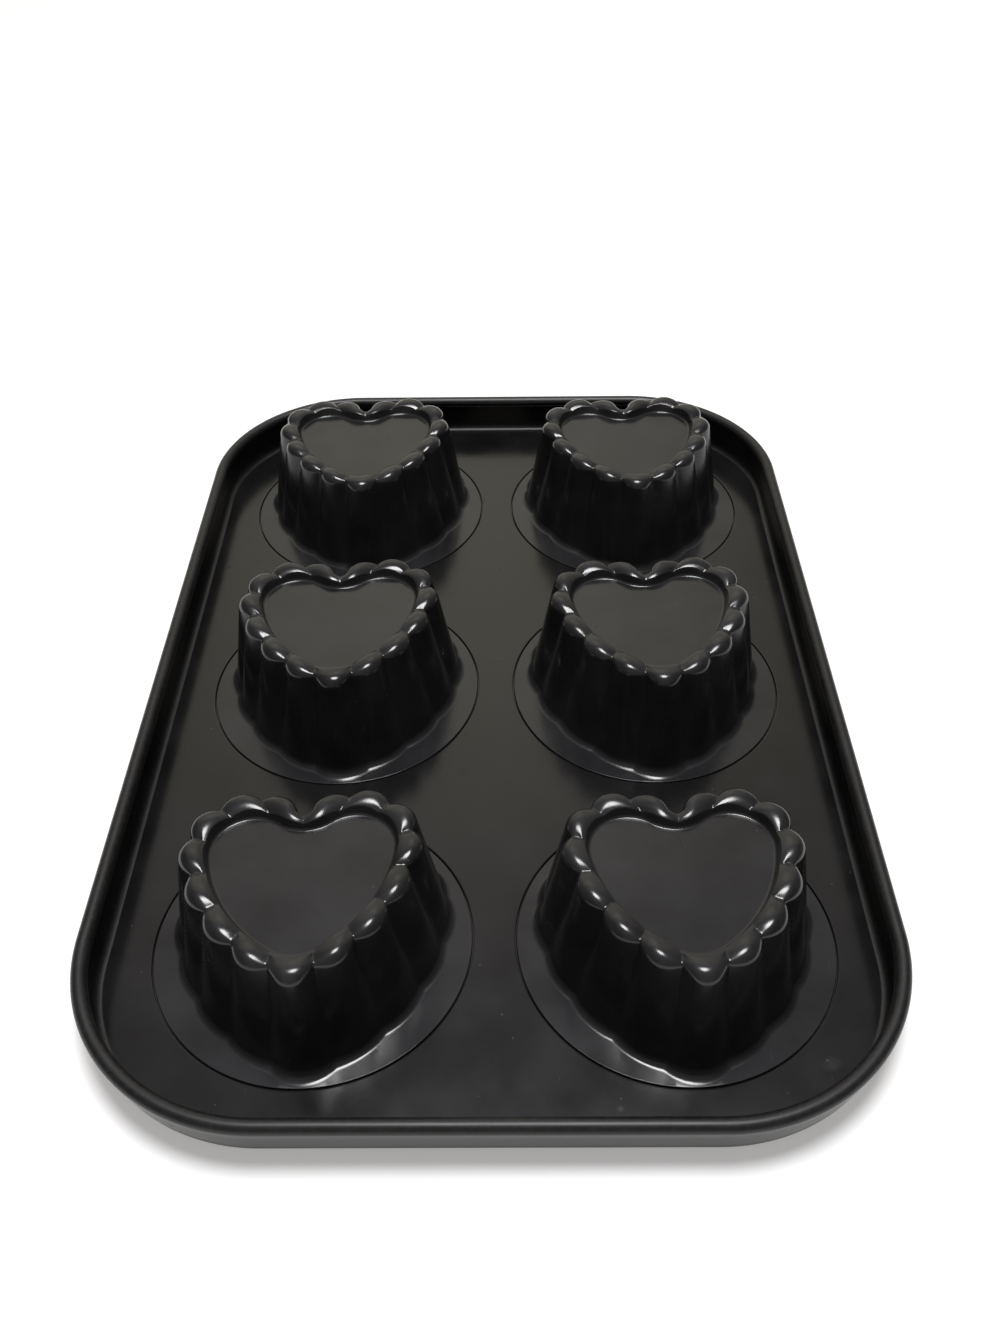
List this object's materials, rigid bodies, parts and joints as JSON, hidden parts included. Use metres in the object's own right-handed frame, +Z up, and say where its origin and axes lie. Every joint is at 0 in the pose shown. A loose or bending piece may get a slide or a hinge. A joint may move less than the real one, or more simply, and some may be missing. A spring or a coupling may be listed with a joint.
{
  "type": "heart muffin pan",
  "caption": "Rectangular baking tray with a rolled rim and separate fluted heart-shaped cups set into round holes, each with a recessed heart floor.",
  "frame": {"origin": "middle of the bounding box, on the plane that the cups' lap rings rest on when the pan lies upside down, as it is modelled", "axes": "+Z up, out through the cup floors; +Y along the long side, away from the hearts' tips; +X across the pan"},
  "size_m": [0.1766, 0.2612, 0.0298],
  "materials": {
    "deck_coating": "black non-stick coating, semi-gloss",
    "cup_coating": "black non-stick coating, semi-gloss",
    "wire_steel": "plain steel wire, hidden in the rolled rim"
  },
  "bodies": {
    "root": {"deck_tray": "deck_coating", "rim_wire": "wire_steel", "heart_cup_a1": "cup_coating", "heart_cup_a2": "cup_coating", "heart_cup_a3": "cup_coating", "heart_cup_b1": "cup_coating", "heart_cup_b2": "cup_coating", "heart_cup_b3": "cup_coating"}
  },
  "joints": []
}
